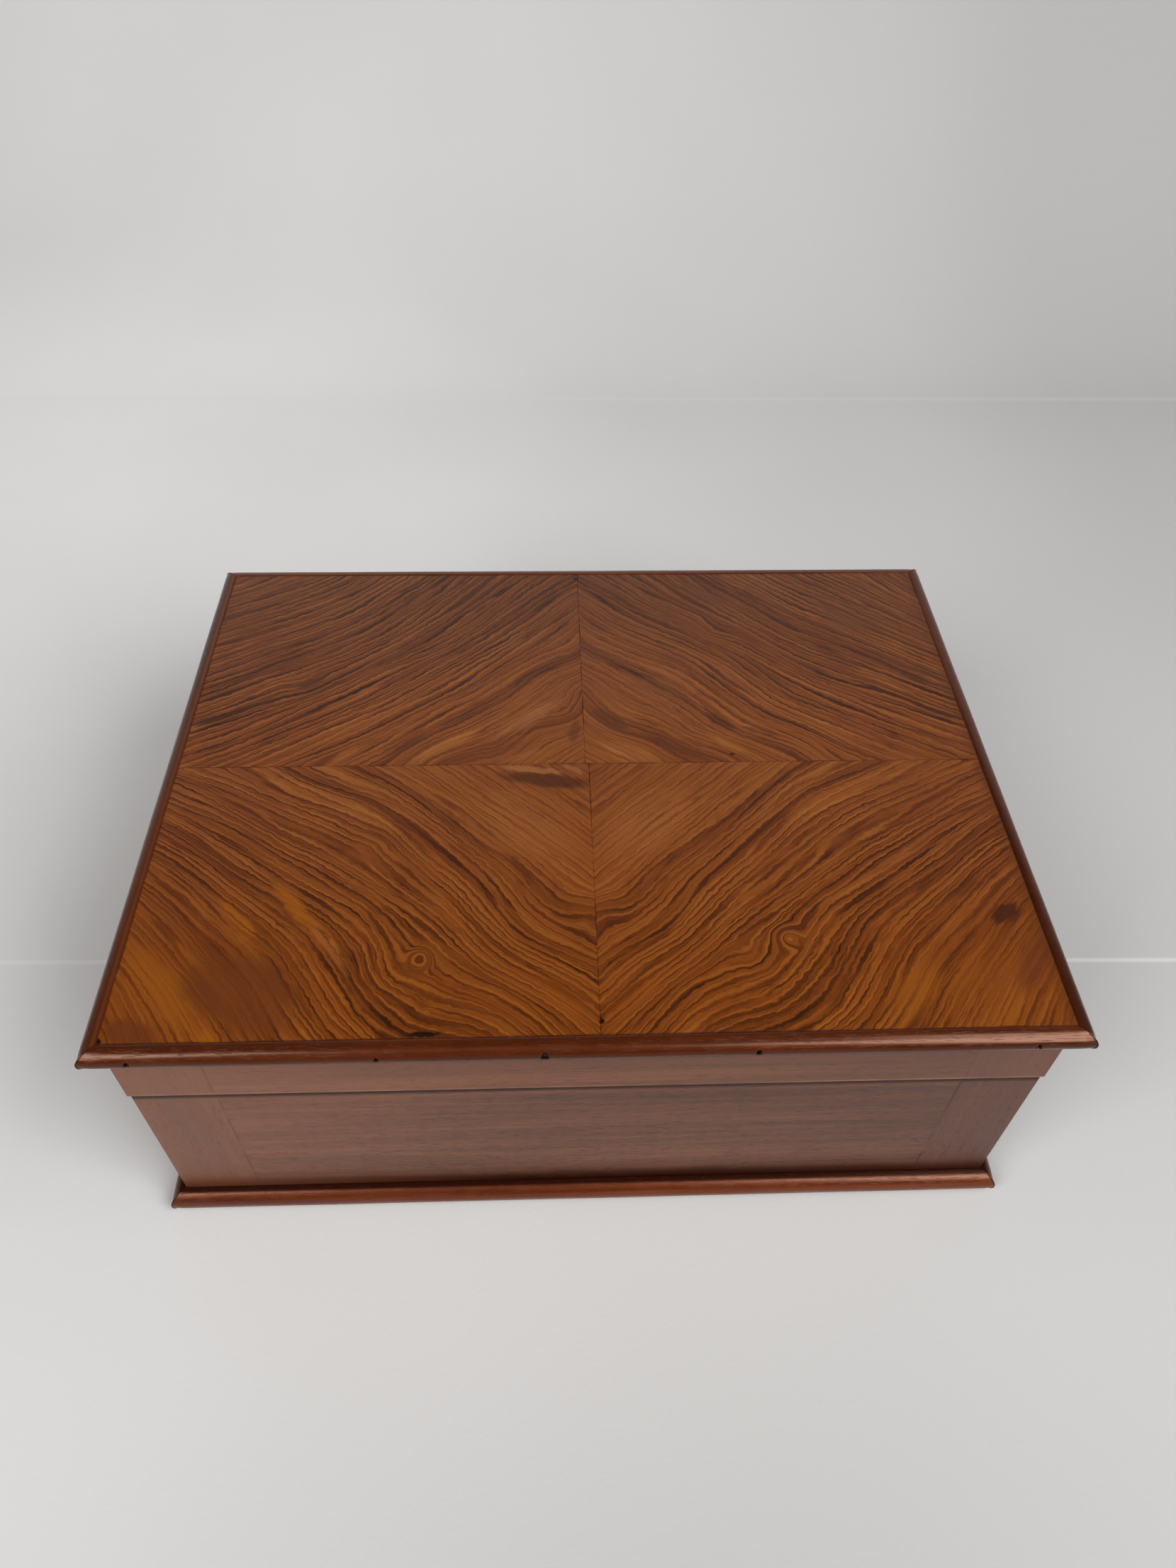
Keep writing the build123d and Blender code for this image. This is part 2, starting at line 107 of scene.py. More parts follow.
class Finish:
    """One procedural material. Each method adds a node and gives back what comes out of it."""

    def __init__(self, name):
        self.material = bpy.data.materials.new(name)
        self.material.use_nodes = True
        self.tree = self.material.node_tree
        self.tree.nodes.clear()
        coordinates = self.tree.nodes.new("ShaderNodeTexCoord")
        millimetres = self.vector_math("SCALE", coordinates.outputs["Object"])
        millimetres.node.inputs["Scale"].default_value = 1 / MM
        self.place = millimetres
        split = self.tree.nodes.new("ShaderNodeSeparateXYZ")
        self.feed(split.inputs[0], millimetres)
        self.x, self.y, self.z = [Field(self, socket) for socket in split.outputs]
        self.dirt_and_shade = None

    def feed(self, socket, value):
        """Links a value that varies, or sets one that doesn't."""
        if isinstance(value, Field):
            value = value.socket
        if isinstance(value, bpy.types.NodeSocket):
            self.tree.links.new(value, socket)
        else:
            socket.default_value = value

    def math(self, operation, *values):
        node = self.tree.nodes.new("ShaderNodeMath")
        node.operation = operation
        for socket, value in zip(node.inputs, values):
            self.feed(socket, value)
        return Field(self, node.outputs[0])

    def vector_math(self, operation, *values):
        node = self.tree.nodes.new("ShaderNodeVectorMath")
        node.operation = operation
        for socket, value in zip(node.inputs, values):
            self.feed(socket, value)
        return node.outputs["Vector"]

    def vector(self, x, y, z=0.0):
        node = self.tree.nodes.new("ShaderNodeCombineXYZ")
        for socket, value in zip(node.inputs, (x, y, z)):
            self.feed(socket, value)
        return node.outputs[0]

    def smooth(self, value, low, high, at_low=0.0, at_high=1.0):
        node = self.tree.nodes.new("ShaderNodeMapRange")
        node.interpolation_type = "SMOOTHSTEP"
        for socket, item in zip(node.inputs, (value, low, high, at_low, at_high)):
            self.feed(socket, item)
        return Field(self, node.outputs[0])

    def noise(self, point, detail=2.0, roughness=0.5):
        """Smooth noise from about 0.25 to 0.75, about one wave to each unit of the point."""
        node = self.tree.nodes.new("ShaderNodeTexNoise")
        self.feed(node.inputs["Vector"], point)
        node.inputs["Scale"].default_value = 1.0
        node.inputs["Detail"].default_value = detail
        node.inputs["Roughness"].default_value = roughness
        return Field(self, node.outputs["Fac"])

    def ramp(self, value, stops):
        """A colour for each value, from (value, colour) stops."""
        node = self.tree.nodes.new("ShaderNodeValToRGB")
        elements = node.color_ramp.elements
        while len(elements) < len(stops):
            elements.new(1.0)
        for element, (position, colour) in zip(elements, stops):
            element.position = position
            element.color = colour
        self.feed(node.inputs[0], value)
        return node.outputs["Color"]

    def profile(self, value, full_scale, points):
        """A curve through (value, result) points, for values from 0 to the full scale."""
        stops = [(at / full_scale, (result, result, result, 1.0)) for at, result in points]
        return Field(self, self.ramp(value / full_scale, stops))

    def mix(self, factor, first, second, blend="MIX"):
        node = self.tree.nodes.new("ShaderNodeMix")
        node.data_type = "RGBA"
        node.blend_type = blend
        first_colour, second_colour = [socket for socket in node.inputs if socket.type == "RGBA"]
        self.feed(node.inputs["Factor"], factor)
        self.feed(first_colour, first)
        self.feed(second_colour, second)
        return next(socket for socket in node.outputs if socket.type == "RGBA")

    def thread(self, point, thickness):
        """1 along thin lines where smooth noise crosses its middle, and 0 between them."""
        off_line = self.math("ABSOLUTE", self.noise(point, detail=1.0) - 0.5)
        return self.smooth(off_line, thickness, thickness * 0.2)

    def soil_and_shade(self, amount, colour, shade):
        """Dirt in a joint or a hole, and painted shade in places where shade falls. Both also take
        the shine.
        """
        self.dirt_and_shade = amount if self.dirt_and_shade is None else self.math("MAXIMUM", self.dirt_and_shade, amount)
        return self.mix(amount, colour, shade)

    def spot(self, point, centre, half_sizes, angle=0.0):
        """1 in the middle of a soft oval patch and 0 outside it."""
        node = self.tree.nodes.new("ShaderNodeMapping")
        node.vector_type = "TEXTURE"
        self.feed(node.inputs["Vector"], point)
        node.inputs["Location"].default_value = (*centre, 0.0)
        node.inputs["Rotation"].default_value = (0.0, 0.0, math.radians(angle))
        node.inputs["Scale"].default_value = (*half_sizes, 1.0)
        length = self.tree.nodes.new("ShaderNodeVectorMath")
        length.operation = "LENGTH"
        self.feed(length.inputs[0], node.outputs[0])
        return self.smooth(Field(self, length.outputs["Value"]), 1.0, 0.0)

    def surface(self, colour, roughness, height=None, relief=0.0, **inputs):
        """The shader that ends the material. The relief is in millimetres."""
        shader = self.tree.nodes.new("ShaderNodeBsdfPrincipled")
        self.feed(shader.inputs["Base Color"], colour)
        self.feed(shader.inputs["Roughness"], roughness)
        for name, value in inputs.items():
            self.feed(shader.inputs[name.replace("_", " ")], value)
        if height is not None:
            bump = self.tree.nodes.new("ShaderNodeBump")
            bump.inputs["Distance"].default_value = relief * MM
            self.feed(bump.inputs["Height"], height)
            self.feed(shader.inputs["Normal"], bump.outputs[0])
        output = self.tree.nodes.new("ShaderNodeOutputMaterial")
        self.tree.links.new(shader.outputs[0], output.inputs["Surface"])
        return self.material


def dress(node_name, material):
    """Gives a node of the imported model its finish."""
    mesh = nodes[node_name].data
    mesh.materials.clear()
    mesh.materials.append(material)


# The veneer's figure. Each leaf is read from the middle of the lid: u along the cross seam and
# v along the other seam. A label in mm tells which growth line a point is on, and the tones
# below say how dark the wood is along the labels.
varnish_tint = rgb("FFE9D6")
varnish_shine = 0.36
varnish_roughness = 0.27
veneer_relief = 0.014
figure_bend = 760.0
figure_span = 320.0
ring_spacing = 4.6
ring_sway = 22
thread_thickness = 0.045
front_tones = (
    (0, 0.50), (25, 0.52), (45, 0.56), (70, 0.60), (91, 0.56), (94, 0.48), (98, 0.37), (101, 0.46),
    (105, 0.54), (112, 0.52), (115, 0.40), (118, 0.34), (121, 0.48), (124, 0.59), (129, 0.56),
    (134, 0.49), (142, 0.54), (151, 0.48), (161, 0.51), (172, 0.47), (183, 0.51), (190, 0.46),
    (194, 0.33), (199, 0.40), (204, 0.62), (210, 0.52), (217, 0.42), (226, 0.56), (236, 0.46),
    (250, 0.48), (280, 0.56), (310, 0.50),
)
back_tones = (
    (0, 0.58), (30, 0.56), (42, 0.52), (48, 0.38), (54, 0.42), (60, 0.53), (72, 0.55), (83, 0.56),
    (87, 0.38), (91, 0.34), (93, 0.51), (100, 0.55), (108, 0.50), (113, 0.44), (117, 0.49),
    (125, 0.54), (135, 0.48), (143, 0.40), (150, 0.50), (165, 0.47), (172, 0.40), (178, 0.45),
    (186, 0.52), (194, 0.45), (199, 0.33), (204, 0.46), (215, 0.53), (240, 0.49), (300, 0.50),
)
figure_colours = (
    (0.00, rgb("2A1208")), (0.20, rgb("42200D")), (0.38, rgb("592B11")), (0.50, rgb("6A3615")),
    (0.62, rgb("76401A")), (0.80, rgb("854E20")), (1.00, rgb("96602A")),
)
# Places on the lid where the lines are fainter: (centre, half sizes, how much)
calm_places = (
    ((40, 105), (170, 90), 0.45), ((165, -10), (90, 50), 0.4), ((-105, -56), (18, 12), 0.8),
    ((115, -52), (18, 12), 0.8),
)


def veneer(name, end_way, row_way, seam_x, drift, tones, pushes, patches, stains, back_darkening_amount):
    """One leaf of veneer. Its seeds differ by the drift, pushes bend its growth lines, patches
    are streaks of other colour along the grain, and stains are solid spots."""
    wood = Finish(name)
    u = (wood.x - seam_x) * end_way
    v = (wood.y - cross_seam_y) * row_way
    leaf = wood.vector(u, v)
    # The growth lines run diagonally, in a slow bend with waves of three sizes
    slow = wood.noise(wood.vector(u / 60, v / 60, drift), detail=1.0)
    waves = wood.noise(wood.vector(u / 13, v / 13, drift + 7), detail=2.0)
    jags = wood.noise(wood.vector(u / 3.4, v / 3.4, drift + 9), detail=1.0)
    label = u + v - u * u / figure_bend
    label = label + (slow - 0.5) * 5 + (waves - 0.5) * 2.2 + (jags - 0.5) * 2.0
    for centre, reach, shift in pushes:
        label = label + wood.spot(leaf, centre, (reach, reach)) * shift
    along = u - v

    # Growth lines and rings, faint in the middle of the lid and in calm places, clear elsewhere
    lines = wood.noise(wood.vector(label / 3.0, along / 230, drift + 3), detail=3.0, roughness=0.6)
    bands = wood.noise(wood.vector(label / 8, along / 90, drift + 5), detail=2.0)
    calm_corner = wood.spot(leaf, (168, 122), (74, 54), -20)
    calm = 0.65 if row_way < 0 else 0.15
    strength = wood.smooth(label, 60.0, 130.0, 0.6, 1.2) * (1 - calm_corner * calm)
    ground = wood.vector(wood.x + (waves - 0.5) * 7, wood.y + (jags - 0.5) * 2)
    for centre, half_sizes, amount in calm_places:
        strength = strength * (1 - wood.spot(ground, centre, half_sizes) * amount)
    tone = wood.profile(label + (lines - 0.5) * 9, figure_span, tones)
    tone = tone + (lines - 0.5) * (strength * 0.42 + 0.22) + (bands - 0.5) * 0.18
    sway = wood.noise(wood.vector(label / 13, along / 150, drift + 47), detail=2.0)
    phase = label * (2 * math.pi / ring_spacing) + (sway - 0.5) * ring_sway
    presence = wood.noise(wood.vector(label / 7, along / 50, drift + 53), detail=1.0)
    presence = presence.within(0.34, 0.62)
    dark_ring = wood.smooth(wood.math("SINE", phase), 0.25, 0.95)
    pale_ring = wood.smooth(wood.math("SINE", phase + 1.8), 0.45, 1.0)
    dark_thread = wood.thread(wood.vector(label / 4.6, along / 250, drift + 29), thread_thickness)
    breaks = wood.noise(wood.vector(label / 4, along / 24, drift + 41), detail=2.0)
    breaks = breaks.within(0.36, 0.58)
    ring = dark_ring * (presence * 0.8 + 0.2)
    further = wood.smooth(wood.y, 0.0, 60.0, 1.0, 1.3)
    dark_line = (ring * 0.24 + dark_thread * breaks * 0.16) * strength * further
    tone = tone - dark_line + pale_ring * strength * further * 0.14 + 0.035
    # Pores drawn out along the grain
    pores = wood.noise(wood.vector(label / 0.5, along / 9, drift + 11), detail=2.0, roughness=0.6)
    flecks = wood.noise(wood.vector(label / 0.9, along / 16, drift + 13), detail=1.0)
    clusters = wood.noise(wood.vector(label / 16, along / 60, drift + 17), detail=1.0)
    pore = wood.smooth(pores, 0.56, 0.74)
    fleck = wood.smooth(flecks, 0.58, 0.68) * clusters.within(0.42, 0.60)
    tone = tone - pore * 0.19 - fleck * 0.17

    colour = wood.ramp(tone, figure_colours)
    # The wood is redder in places, darker and cooler towards the back and warmer towards the front
    redness = wood.noise(wood.vector(u / 70, v / 40, drift + 23), detail=2.0)
    colour = wood.mix(redness.within(0.40, 0.68) * 0.25, colour, rgb("622D12"))
    back_darkening = wood.smooth(wood.y, 20.0, 150.0, 0.0, back_darkening_amount)
    colour = wood.mix(back_darkening, colour, rgb("E1E3F1"), blend="MULTIPLY")
    warming = wood.smooth(wood.y, -30.0, -140.0)
    colour = wood.mix(warming, colour, rgb("FDF6BE"), blend="MULTIPLY")
    for centre, half_sizes, angle, shade, amount in patches:
        patch = wood.spot(ground, centre, half_sizes, angle)
        streaks = patch.within(0.08, 0.85) * (lines.within(0.37, 0.59) * 0.9 + 0.2)
        colour = wood.mix(streaks * amount, colour, rgb(shade))
    for centre, half_sizes, angle, shade, amount in stains:
        stain = wood.spot(ground, centre, half_sizes, angle) * 1.5 + (lines - 0.5) * 1.7
        colour = wood.mix(stain.within(0.15, 0.95) * amount, colour, rgb(shade))

    # Dark glue lines at the seams and where the moulding meets the leaf
    thick = wood.noise(wood.vector(wood.x / 9, wood.y / 9, 3.0), detail=3.0)
    open_here = wood.noise(wood.vector(wood.x / 22, wood.y / 22, 5.0), detail=2.0)
    open_here = open_here.within(0.40, 0.62)
    seam = wood.smooth(wood.math("MINIMUM", u, v), thick * 0.9 - 0.1, thick * 0.2)
    seam = seam * (0.35 + open_here * 0.5)
    rim_x = leaf_edge_x - wood.math("ABSOLUTE", wood.x)
    rim_y = leaf_edge_y - wood.math("ABSOLUTE", wood.y)
    rim_away = wood.math("MINIMUM", rim_x, rim_y)
    edge = wood.smooth(rim_away, thick * 1.5, thick * 0.4) * (0.5 + open_here * 0.4)
    right_edge = wood.smooth(leaf_edge_x - wood.x, 7.0, 0.0) * 0.45
    colour = wood.mix(right_edge, colour, rgb("45200C"))
    colour = wood.mix(edge * 0.8, colour, rgb("461804"))
    colour = wood.soil_and_shade(seam * 0.85, colour, rgb("240C04"))
    gap = wood.math("MAXIMUM", seam, edge)

    height = lines * 0.15 - pore * 0.9 - fleck * 0.6 - dark_line * 0.5 - gap * 2.5
    smear = wood.noise(wood.vector(wood.x / 70, wood.y / 50, 31.0), detail=1.0)
    roughness = varnish_roughness + (smear - 0.5) * 0.03 + pore * 0.16 + gap * 0.4
    shine = varnish_shine * (1 - gap * 0.95)
    return wood.surface(
        colour, roughness, height, veneer_relief,
        Specular_IOR_Level=shine, Specular_Tint=varnish_tint,
    )


front_left_pushes = (
    ((-4, 88), 20, 9), ((30, 98), 44, -9), ((95, 30), 50, 5), ((250, 110), 130, 55),
    ((88, 150), 70, -22), ((45, 142), 30, 5), ((72.6, 109.6), 8, 10), ((86, 118), 18, -4),
    ((97, 47), 15, 2.4),
)
front_right_pushes = (
    ((-4, 88), 20, 9), ((105, 20), 60, 6), ((30, 94), 34, -5), ((250, 110), 130, 55),
    ((92, 148), 66, -20), ((45, 142), 30, 4), ((80, 102), 9, 9), ((66, 113), 15, -4),
)
back_left_pushes = (
    ((0, 80), 28, 8), ((68, 0), 30, -10), ((4, 32), 24, 11), ((36, 11), 18, 4),
    ((140, 56), 16, 3), ((45, 45), 30, 3), ((60, 190), 110, -24),
)
back_right_pushes = (
    ((100, 8), 30, -7), ((68, 2), 26, -6), ((12, 30), 30, 8), ((60, 76), 60, -11),
    ((72, 98), 16, 5), ((60, 190), 110, -16), ((240, 110), 110, 30),
)

dark_brown = "42200F"
reddish = "592A11"
purple_brown = "4E2C20"
golden = "84480C"
orange = "7C3E0C"
pale_wood = "925E34"
black_brown = "120704"
front_left_patches = (
    ((-176, -122), (44, 15), -50, "7C430E", 0.75),
    ((-157, -127), (22, 9), -50, dark_brown, 0.5),
    ((-126, -122), (24, 10), -52, dark_brown, 0.5),
    ((-148, -91), (30, 6), -52, golden, 0.8),
    ((-109, -104), (30, 4.5), -54, "8A4E20", 0.7),
    ((-149, -148), (12, 5), -50, golden, 0.8),
    ((-126, -84), (26, 6), -48, golden, 0.9),
    ((-12, -130), (30, 7), -42, orange, 0.5),
    ((-30, -40), (40, 26), -42, pale_wood, 0.16),
)
front_left_stains = (
    ((-141, -127), (42, 24), -38, reddish, 0.7),
    ((-180, -144), (18, 9), -25, reddish, 0.8),
    ((-18, -12), (36, 7), -9, "3E1C0E", 0.8),
    ((-26, -5), (24, 3.0), -8, "8E5E36", 0.5),
    ((-5, -5), (9, 2.6), -35, "8E5E36", 0.4),
    ((-67, -146.5), (12, 2.4), 0, black_brown, 0.95),
    ((-192.5, -147), (4.0, 3.2), 0, black_brown, 1.0),
    ((3.6, -142), (2.4, 2.4), 0, black_brown, 1.0),
)
front_right_patches = (
    ((165, -79), (20, 8), 30, dark_brown, 0.5),
    ((167, -143), (10, 5), 50, "78400E", 0.9),
    ((132, -131), (30, 13), 52, "7C430E", 0.8),
    ((154, -124), (40, 9), 58, golden, 0.25),
    ((185, -118), (30, 13), 60, reddish, 0.9),
    ((18, -128), (30, 7), 44, orange, 0.5),
    ((28, -40), (42, 26), 42, pale_wood, 0.18),
)
front_right_stains = (
    ((179, -93), (13, 7), 36, "32170B", 0.85),
    ((3.6, -142), (2.4, 2.4), 0, black_brown, 1.0),
    ((186, -2), (3, 1.6), 0, dark_brown, 0.7),
)
back_left_patches = (
    ((-8, 76), (22, 6), 20, reddish, 0.6),
    ((-168, 90), (17, 6), 42, reddish, 0.9),
    ((-85, 13), (20, 5), 42, dark_brown, 0.6),
    ((-58, 33), (26, 4), 38, dark_brown, 0.5),
    ((-66, 12), (34, 8), 38, "965E28", 0.55),
    ((-28, 30), (30, 9), 40, pale_wood, 0.4),
    ((-160, 70), (34, 6), 35, dark_brown, 0.4),
)
back_left_stains = (
    ((-4, 21), (14, 5), 80, dark_brown, 0.5),
    ((-139, 57), (13, 5), 25, dark_brown, 0.6),
    ((-30, 4), (20, 3.4), 22, "86502C", 0.3),
    ((0.8, 144), (2.6, 2.6), 0, black_brown, 0.9),
)
back_right_patches = (
    ((45, 10), (34, 7), -30, dark_brown, 0.6),
    ((73, 12), (20, 8), -36, "8C5622", 0.6),
    ((22, 6), (26, 7), -26, pale_wood, 0.5),
    ((122, 65), (24, 6), -38, dark_brown, 0.5),
    ((138, 72), (26, 7), -45, dark_brown, 0.5),
    ((170, 67), (34, 9), -36, "401E12", 0.75),
    ((150, 110), (36, 20), -40, purple_brown, 0.5),
    ((72, 132), (24, 14), -45, purple_brown, 0.45),
    ((40, 48), (26, 16), -45, "5A341F", 0.5),
)
back_right_stains = (
    ((14, 29), (16, 8), -45, "45220F", 0.6),
    ((69, 27), (13, 4), -45, "34180C", 0.55),
    ((73, 4), (2.2, 1.8), 0, black_brown, 0.8),
    ((0.8, 144), (2.6, 2.6), 0, black_brown, 0.9),
)
back_leaf_darkening = 1.0
front_leaf_darkening = 0.0
for leaf_name, end_way, drift, pushes, patches, stains in (
    ("front_left", -1, 0.0, front_left_pushes, front_left_patches, front_left_stains),
    ("front_right", 1, 0.12, front_right_pushes, front_right_patches, front_right_stains),
    ("back_left", -1, 0.30, back_left_pushes, back_left_patches, back_left_stains),
    ("back_right", 1, 0.42, back_right_pushes, back_right_patches, back_right_stains),
):
    in_front = leaf_name.startswith("front")
    leaf_finish = veneer(
        f"veneer_{leaf_name}", end_way, -1 if in_front else 1,
        front_seam_x if in_front else back_seam_x, drift,
        front_tones if in_front else back_tones, pushes, patches, stains,
        front_leaf_darkening if in_front else back_leaf_darkening,
    )
    dress(f"veneer_{leaf_name}", leaf_finish)


board_relief = 0.03


def board(
    name, along, colours, seed, gloss=0.34, contrast=1.0, pore_shade="1E0C06", wave=3.0, marks=None,
    polish=0.46, tint=varnish_tint,
):
    """Straight-grained wood. The grain runs along x, y or z, and marks add dirt, wear and painted
    light and shade.
    """
    wood = Finish(name)
    places = {"x": wood.x, "y": wood.y, "z": wood.z}
    length = places.pop(along)
    first, second = places.values()
    bend = wood.noise(wood.vector(length / 120, first / 60, seed), detail=1.5) - 0.5
    first = first + bend * wave
    second = second + bend * wave
    bands = wood.noise(wood.vector(length / 260, first / 14, second / 14 + seed), detail=2.0)
    lines = wood.noise(wood.vector(length / 110, first / 2.4, second / 2.4 + seed), detail=3.0)
    mottle = wood.noise(wood.vector(length / 9, first / 7, second / 7 + seed), detail=2.0)
    pores = wood.noise(wood.vector(length / 6, first / 0.4, second / 0.4 + seed), detail=1.5)
    pore = wood.smooth(pores, 0.57, 0.70)
    tone = 0.5 + (bands - 0.5) * 1.1 * contrast + (lines - 0.5) * 0.8 * contrast
    tone = tone + (mottle - 0.5) * 0.25 * contrast
    dark, middle, light = colours
    colour = wood.ramp(tone, ((0.15, rgb(dark)), (0.5, rgb(middle)), (0.85, rgb(light))))
    colour = wood.mix(pore * 0.45, colour, rgb(pore_shade))
    if marks is not None:
        colour = marks(wood, colour)
    height = lines * 0.3 - pore
    roughness = gloss + (mottle - 0.5) * 0.10 + pore * 0.15
    shine = polish if wood.dirt_and_shade is None else polish * (1 - wood.dirt_and_shade * 0.8)
    return wood.surface(
        colour, roughness, height, board_relief, Specular_IOR_Level=shine, Specular_Tint=tint,
    )


# Dirt in the joints, painted shadow and shade along the case, painted light across the front, and a
# rim edge that is worn and carries a painted highlight
# Near-black for dirt in the joints, and for the painted shadow under the lid's rim
grime_and_shadow_shade = rgb("160904")
# Pale for the rim's lower edge, partly wear and partly a painted highlight
worn_and_highlit_edge = rgb("8A5A42")
case_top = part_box("front_board")[1].z / MM
case_half_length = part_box("base_board")[1].x / MM
case_half_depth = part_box("base_board")[1].y / MM
rim_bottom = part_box("rim_front_board")[0].z / MM
plinth_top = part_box("plinth_front")[1].z / MM
joint_places = (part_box("front_left_stile")[1].x / MM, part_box("front_right_stile")[0].x / MM)


def joint_line(wood, colour):
    """The hairlines where the stiles meet the boards between them."""
    uneven = wood.noise(wood.vector(wood.z / 14, wood.x / 14, wood.y / 14), detail=3.0)
    for joint_x in joint_places:
        away = wood.math("ABSOLUTE", wood.x - joint_x)
        line = wood.smooth(away, uneven * 1.5, 0.15) * uneven.within(0.26, 0.56)
        colour = wood.soil_and_shade(line * 0.5, colour, grime_and_shadow_shade)
    return colour


def painted_side_light(wood, colour):
    """Painted light and shade: the front is paler at its left end and darker at its right end."""
    painted_left_light = wood.smooth(wood.x, -20.0, -200.0)
    painted_right_shade = wood.smooth(wood.x, 20.0, 190.0)
    colour = wood.mix(painted_left_light * 0.38, colour, rgb("7C4C34"))
    return wood.mix(painted_right_shade * 0.4, colour, rgb("3C1C10"))


def case_marks(wood, colour):
    """The joint lines, a painted shadow under the lid's rim on the outer faces, a dark band above
    the plinth that is partly dirt and partly painted shade, and the painted side light.
    """
    uneven = wood.noise(wood.vector(wood.x / 30, wood.y / 30, wood.z / 30), detail=3.0)
    past_side = wood.math("ABSOLUTE", wood.x) - case_half_length
    past_front = wood.math("ABSOLUTE", wood.y) - case_half_depth
    outside = wood.smooth(wood.math("MAXIMUM", past_side, past_front), -0.9, -0.3)
    # Painted shadow under the overhang of the lid's rim, on the outer faces only
    painted_shadow_under_rim = wood.smooth(wood.z, case_top - 4.6 - uneven, case_top - 2.0) * outside
    # A dark band above the plinth, partly dirt and partly painted shade where the case meets the
    # plinth
    dirt_and_shade_above_plinth = wood.smooth(wood.z, plinth_top + 4.0 + uneven * 16, plinth_top)
    colour = wood.soil_and_shade(dirt_and_shade_above_plinth * 0.85, joint_line(wood, colour), rgb("220B05"))
    return wood.soil_and_shade(painted_shadow_under_rim * 0.85, painted_side_light(wood, colour), grime_and_shadow_shade)


def rim_marks(wood, colour):
    """A pale line along the rim's lower edge, partly wear and partly a painted highlight where the
    rounded edge catches the light.
    """
    uneven = wood.noise(wood.vector(wood.x / 25, wood.y / 25, wood.z / 25), detail=3.0)
    past_side = wood.math("ABSOLUTE", wood.x) - leaf_edge_x
    past_front = wood.math("ABSOLUTE", wood.y) - leaf_edge_y
    outside = wood.smooth(wood.math("MAXIMUM", past_side, past_front), -1.6, -0.8)
    # The pale edge line: partly wear, partly a painted highlight
    edge = wood.smooth(wood.z, rim_bottom + 1.6 + uneven * 0.8, rim_bottom + 1.0) * outside
    colour = wood.mix(0.22, painted_side_light(wood, joint_line(wood, colour)), rgb("7A4C34"))
    return wood.mix(edge * uneven.within(0.30, 0.65) * 0.7, colour, worn_and_highlit_edge)


case_wood = ("412111", "582E1B", "6A3C25")
stile_wood = ("422111", "562C1A", "663923")
moulding_wood = ("260A02", "401704", "56250A")
# Painted light and shade: the same moulding is given darker colours on the sides and lighter ones
# at the back
shaded_side_moulding_wood = ("200903", "3A1606", "4E210C")
lit_back_moulding_wood = ("3A190C", "592B17", "6E3C22")
plinth_wood = ("3A1206", "572309", "70330F")
inner_wood = ("8A5A34", "A87448", "BC8A5A")
inner_look = {"gloss": 0.5, "pore_shade": "6A3E22"}
inner_along_x = ("liner_front", "liner_back", "long_divider", "base_board", "lid_panel")
inner_along_y = ("liner_left", "liner_right", "cross_divider")
moulding_polish = 0.62
moulding_tint = rgb("FFC6AA")
for number, node_name in enumerate(nodes):
    seed = 3.7 * number
    finish_name = f"wood_{node_name}"
    marks = rim_marks if node_name.startswith("rim_") else case_marks
    if node_name.endswith("_stile"):
        finish = board(finish_name, "z", stile_wood, seed, contrast=0.9, wave=9.0, marks=marks)
    elif node_name.endswith(("front_board", "back_board")):
        finish = board(finish_name, "x", case_wood, seed, contrast=1.3, marks=marks)
    elif node_name.endswith(("side_board", "left_board", "right_board")):
        finish = board(finish_name, "y", case_wood, seed, marks=marks)
    elif node_name.startswith(inner_along_y):
        finish = board(finish_name, "y", inner_wood, seed, **inner_look)
    elif node_name.startswith(inner_along_x):
        finish = board(finish_name, "x", inner_wood, seed, **inner_look)
    else:
        continue
    dress(node_name, finish)


# Half-round mouldings, as meshes with true curves, worn corners and punched nail pits
rounding_steps = 22
column_spacing = 5.0
pit_column_spacing = 0.35
pit_reach = 2.6
# The place along the front strip and the radius of each nail pit
nail_pits = (
    (-180.5, 1.2), (-85.0, 1.1), (-19.5, 2.0), (64.5, 1.3), (176.0, 1.2),
)
pit_sink = 1.3
pit_level = 0.5
inner_arris = 0.35
corner_wear = 0.35
corner_reach = 1.5
# The hand-planed faces waver by this much, in two waves of so many radians to a millimetre
hand_waviness = 0.05
long_wave = 0.071
longer_wave = 0.023
sharp_edge_angle = 50
side_turns = {"front": 0, "right": 90, "back": 180, "left": 270}


def round_nosed_section(width, thickness, nose):
    """(outward, up) points round a strip's section, from its inner bottom to its inner top.
    The nose says how much of the width is rounded."""
    points = [(0.0, 0.0)]
    for step in range(rounding_steps + 1):
        turn = math.pi * step / rounding_steps - math.pi / 2
        points.append((
            width - nose + nose * math.cos(turn),
            thickness / 2 + thickness / 2 * math.sin(turn),
        ))
    points.append((inner_arris, thickness))
    points.append((0.0, thickness - inner_arris))
    return points


